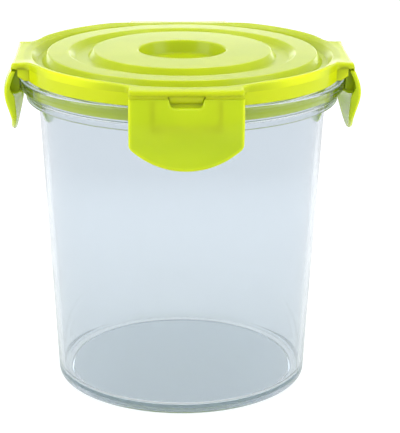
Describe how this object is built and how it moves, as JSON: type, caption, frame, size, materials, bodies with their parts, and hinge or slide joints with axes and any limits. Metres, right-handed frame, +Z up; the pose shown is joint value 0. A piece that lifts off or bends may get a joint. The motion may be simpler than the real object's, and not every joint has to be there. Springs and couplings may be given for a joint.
{
  "type": "clip-lid food keeper",
  "caption": "Round tapered clear container with a stepped collar, closed by a lime green lid with hinged side clips and a gasket; keeps pickles airtight.",
  "frame": {"origin": "centre of the foot ring, on the surface that the container stands on", "axes": "+Z up along the container's axis; -Y out through the front clip, +X out through the right clip"},
  "size_m": [0.1688, 0.1688, 0.1622],
  "materials": {
    "container": "clear polished moulded plastic",
    "lid": "satin lime green moulded plastic, slightly translucent",
    "clip": "satin lime green moulded plastic, slightly translucent",
    "gasket": "milky silicone"
  },
  "bodies": {
    "container": {"container": "container"},
    "lid": {"lid": "lid", "gasket": "gasket", "film_hinge_front": "lid", "film_hinge_right": "lid", "film_hinge_back": "lid", "film_hinge_left": "lid"},
    "clip_front": {"clip_front": "clip", "catch_lip_front": "clip"},
    "clip_right": {"clip_right": "clip", "catch_lip_right": "clip"},
    "clip_back": {"clip_back": "clip", "catch_lip_back": "clip"},
    "clip_left": {"clip_left": "clip", "catch_lip_left": "clip"}
  },
  "joints": [
    {"name": "lid_lift", "type": "slide", "parent": "container", "child": "lid", "axis": [0, 0, 1], "range_m": [0, 0.06], "deforming": ["catch_lip_front", "catch_lip_right", "catch_lip_back", "catch_lip_left"]},
    {"name": "clip_front_hinge", "type": "hinge", "parent": "lid", "child": "clip_front", "pos_m": [0, -0.07915, 0.1574], "axis": [-1, 0, 0], "range_deg": [0, 110], "deforming": ["film_hinge_front", "catch_lip_front"]},
    {"name": "clip_right_hinge", "type": "hinge", "parent": "lid", "child": "clip_right", "pos_m": [0.07915, 0, 0.1574], "axis": [0, -1, 0], "range_deg": [0, 110], "deforming": ["film_hinge_right", "catch_lip_right"]},
    {"name": "clip_back_hinge", "type": "hinge", "parent": "lid", "child": "clip_back", "pos_m": [0, 0.07915, 0.1574], "axis": [1, 0, 0], "range_deg": [0, 110], "deforming": ["film_hinge_back", "catch_lip_back"]},
    {"name": "clip_left_hinge", "type": "hinge", "parent": "lid", "child": "clip_left", "pos_m": [-0.07915, 0, 0.1574], "axis": [0, 1, 0], "range_deg": [0, 110], "deforming": ["film_hinge_left", "catch_lip_left"]}
  ]
}
